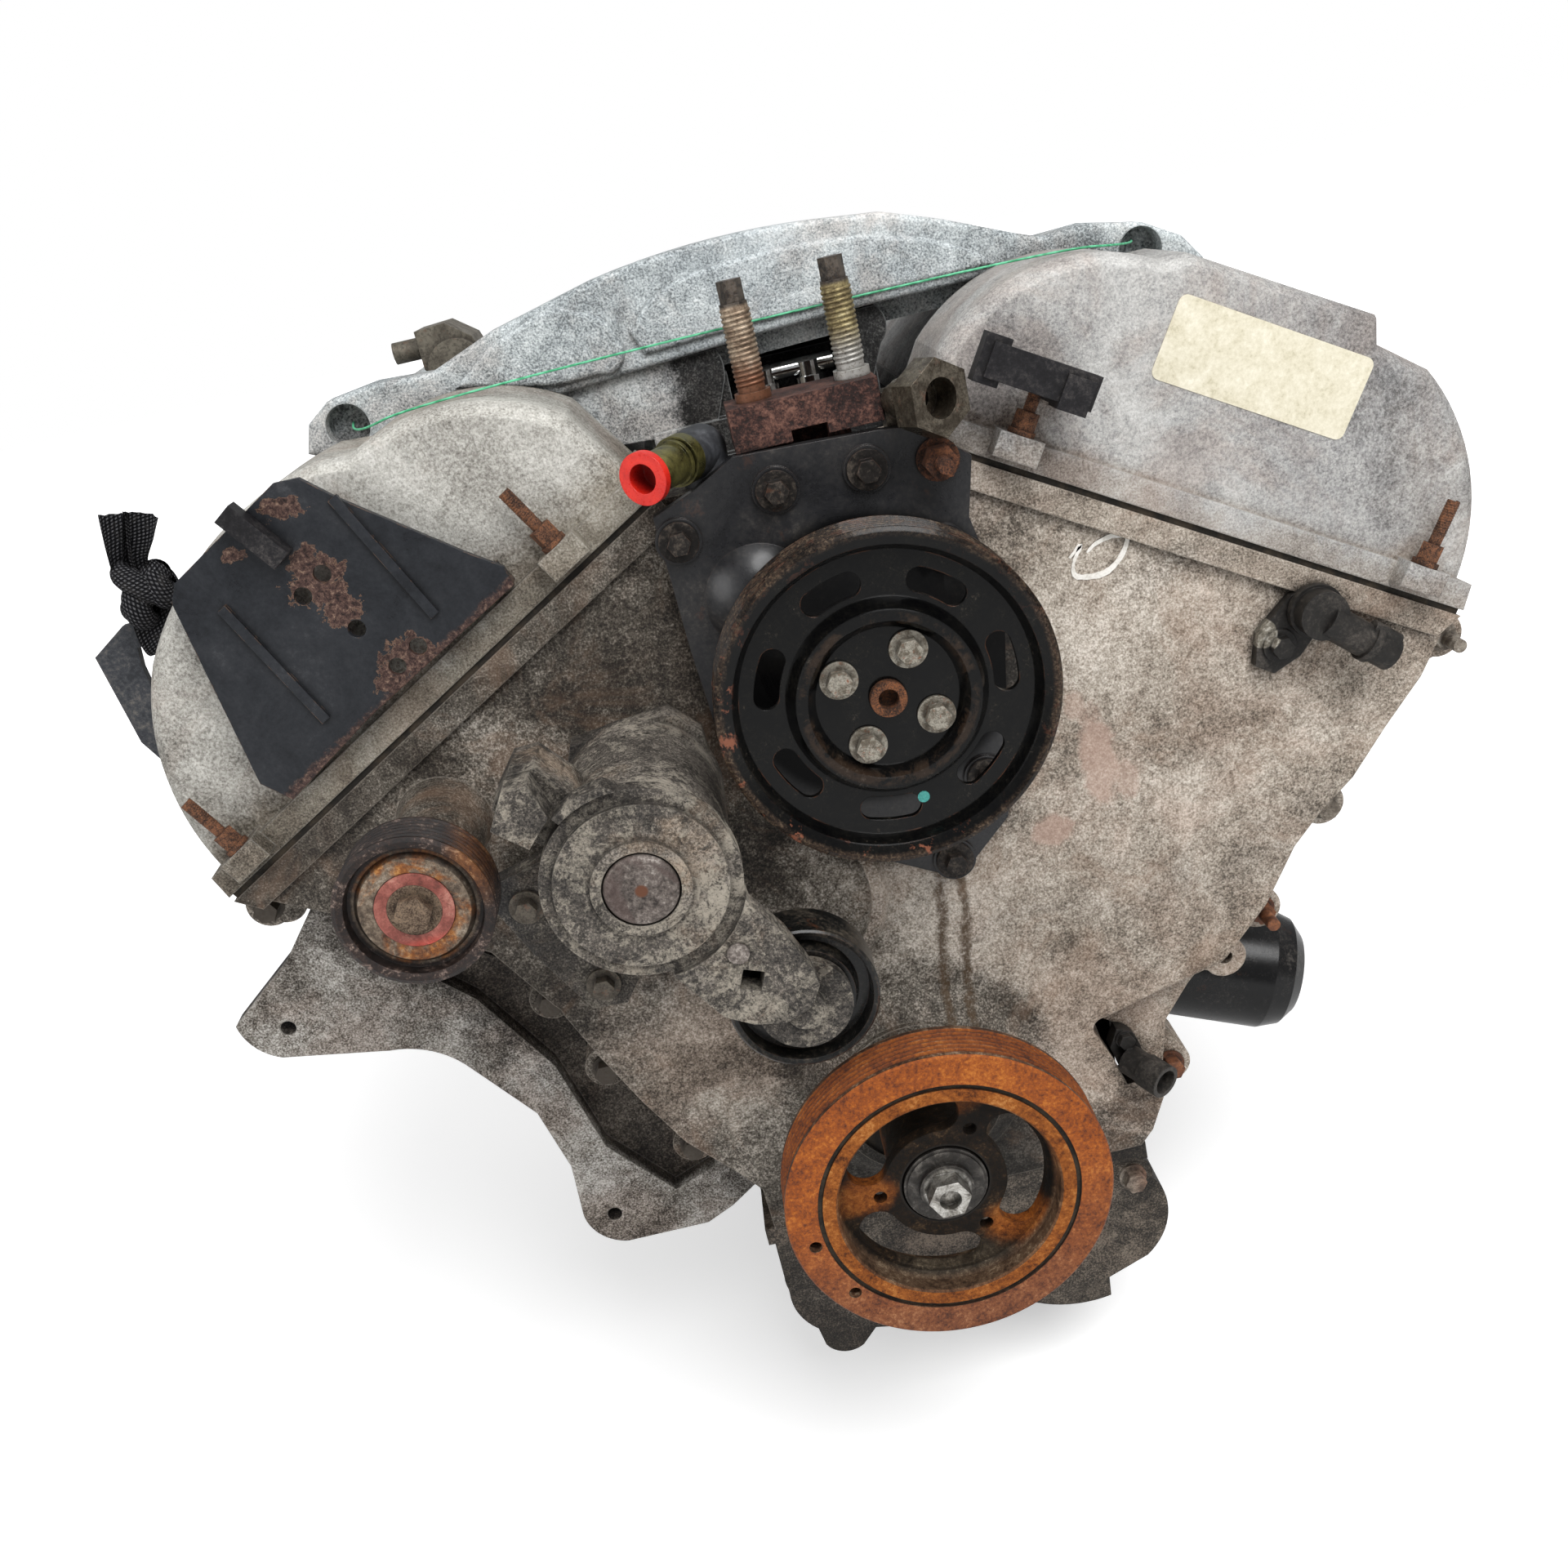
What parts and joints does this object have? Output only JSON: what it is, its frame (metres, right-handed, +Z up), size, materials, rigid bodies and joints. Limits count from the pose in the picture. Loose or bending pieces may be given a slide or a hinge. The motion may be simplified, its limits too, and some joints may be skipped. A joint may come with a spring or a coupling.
{
  "type": "vee engine",
  "caption": "Overhead camshaft vee engine with belt pulleys, spring tensioner, crank damper, chain timing drive, cast covers, oil pan, filter and arched intake.",
  "frame": {"origin": "centre of the flywheel flange at the rear end of the crankshaft, on the crankshaft axis", "axes": "+Y rearwards along the crankshaft axis, towards the flywheel; the belt drive faces -Y; +Z up; +X to the right seen from the belt end"},
  "size_m": [0.7069, 0.558, 0.6827],
  "materials": {
    "block_casting": "as cast, oil stained",
    "cover_casting": "as cast, dull and stained",
    "intake_casting": "as cast, cleaner",
    "black_steel": "semi-gloss black paint",
    "pump_black": "black coating with oil film",
    "damper_steel": "worn dark paint with surface rust",
    "forged_steel": "machined",
    "zinc_steel": "zinc plated, dulled",
    "dark_bolt": "phosphated, oily",
    "rusty_steel": "brown rust",
    "stud_thread": "yellow passivated thread",
    "brassy_steel": "oxidised plating",
    "chrome_parts": "bright plated",
    "seal_rubber": "black rubber",
    "gasket_rubber": "black rubber",
    "pink_seal": "faded red plastic",
    "black_plastic": "black moulded plastic",
    "guide_plastic": "brown moulded plastic",
    "red_plastic": "soft red plastic",
    "webbing": "black woven webbing",
    "green_thread": "green monofilament"
  },
  "bodies": {
    "engine": {"cylinder_block": "block_casting", "lower_crankcase": "block_casting", "oil_pan": "block_casting", "cylinder_head_left": "block_casting", "cylinder_head_right": "block_casting", "valve_cover_left": "cover_casting", "valve_cover_right": "cover_casting", "valve_cover_gaskets": "gasket_rubber", "timing_cover": "cover_casting", "timing_cover_bolts": "dark_bolt", "valve_cover_studs": "rusty_steel", "crank_front_seal": "seal_rubber", "timing_chain_left": "forged_steel", "timing_chain_right": "forged_steel", "chain_guides": "guide_plastic", "cam_bearing_caps": "block_casting", "water_pump_housing": "pump_black", "water_pump_bolts": "dark_bolt", "idler_seal": "pink_seal", "idler_bolt": "zinc_steel", "tensioner_base": "cover_casting", "tensioner_bolts": "dark_bolt", "mount_block": "rusty_steel", "mount_studs": "stud_thread", "hex_fitting": "brassy_steel", "ground_stud": "brassy_steel", "coolant_tube": "black_plastic", "intake_manifold": "intake_casting", "intake_runners": "intake_casting", "vent_valve": "brassy_steel", "fuel_rail": "chrome_parts", "cover_bracket_plate": "black_steel", "wiring_clips": "black_plastic", "lifting_eye": "black_steel", "lifting_strap": "webbing", "cam_sensor": "black_plastic", "crank_sensor": "black_plastic", "oil_filter": "black_steel", "oil_filter_housing": "block_casting", "accessory_bracket": "cover_casting", "green_string": "green_thread"},
    "crank": {"crankshaft": "forged_steel", "crank_sprocket": "forged_steel", "damper_hub": "damper_steel", "damper_rubber": "seal_rubber", "damper_ring": "damper_steel", "crank_bolt": "zinc_steel"},
    "cam_left_intake": {"intake_camshaft_left": "forged_steel"},
    "cam_left_exhaust": {"exhaust_camshaft_left": "forged_steel"},
    "cam_right_intake": {"intake_camshaft_right": "forged_steel"},
    "cam_right_exhaust": {"exhaust_camshaft_right": "forged_steel"},
    "pump_rotor": {"pump_shaft": "rusty_steel", "pump_pulley": "black_steel", "pump_pulley_bolts": "zinc_steel"},
    "idler": {"idler_pulley": "black_steel"},
    "tensioner": {"tensioner_arm": "cover_casting", "tensioner_caps": "zinc_steel"},
    "tensioner_roller": {"tensioner_pulley": "black_plastic"},
    "port_cap": {"red_cap": "red_plastic"},
    "filler_cap": {"oil_filler_cap": "black_plastic"}
  },
  "joints": [
    {"name": "crank_spin", "type": "hinge", "parent": "engine", "child": "crank", "pos_m": [0, 0, 0], "axis": [0, 1, 0], "continuous": true},
    {"name": "cam_left_intake_spin", "type": "hinge", "parent": "engine", "child": "cam_left_intake", "pos_m": [-0.15175, 0, 0.31884], "axis": [0, 1, 0], "continuous": true},
    {"name": "cam_left_exhaust_spin", "type": "hinge", "parent": "engine", "child": "cam_left_exhaust", "pos_m": [-0.24528, 0, 0.26484], "axis": [0, 1, 0], "continuous": true},
    {"name": "cam_right_intake_spin", "type": "hinge", "parent": "engine", "child": "cam_right_intake", "pos_m": [0.15175, 0, 0.31884], "axis": [0, 1, 0], "continuous": true},
    {"name": "cam_right_exhaust_spin", "type": "hinge", "parent": "engine", "child": "cam_right_exhaust", "pos_m": [0.24528, 0, 0.26484], "axis": [0, 1, 0], "continuous": true},
    {"name": "water_pump_spin", "type": "hinge", "parent": "engine", "child": "pump_rotor", "pos_m": [0.019, -0.527, 0.257], "axis": [0, 1, 0], "continuous": true},
    {"name": "idler_spin", "type": "hinge", "parent": "engine", "child": "idler", "pos_m": [-0.2026, -0.527, 0.212], "axis": [0, 1, 0], "continuous": true},
    {"name": "tensioner_swing", "type": "hinge", "parent": "engine", "child": "tensioner", "pos_m": [-0.102, -0.527, 0.206], "axis": [0, 1, 0], "range_deg": [0, 30], "stiffness_Nm_per_rad": 30, "springref_deg": -44.98},
    {"name": "tensioner_pulley_spin", "type": "hinge", "parent": "tensioner", "child": "tensioner_roller", "pos_m": [-0.046, -0.527, 0.126], "axis": [0, 1, 0], "continuous": true},
    {"name": "red_cap_pull", "type": "slide", "parent": "engine", "child": "port_cap", "axis": [-0.5219, -0.853, 0], "range_m": [0, 0.025]},
    {"name": "filler_cap_turn", "type": "hinge", "parent": "engine", "child": "filler_cap", "pos_m": [0.23264, -0.25, 0.32295], "axis": [0.5, 0, 0.866], "range_deg": [0, 90]}
  ],
  "couplings": [
    {"joint": "cam_left_intake_spin", "follows": "crank_spin", "ratio": 0.5},
    {"joint": "cam_left_exhaust_spin", "follows": "crank_spin", "ratio": 0.5},
    {"joint": "cam_right_intake_spin", "follows": "crank_spin", "ratio": 0.5},
    {"joint": "cam_right_exhaust_spin", "follows": "crank_spin", "ratio": 0.5}
  ]
}
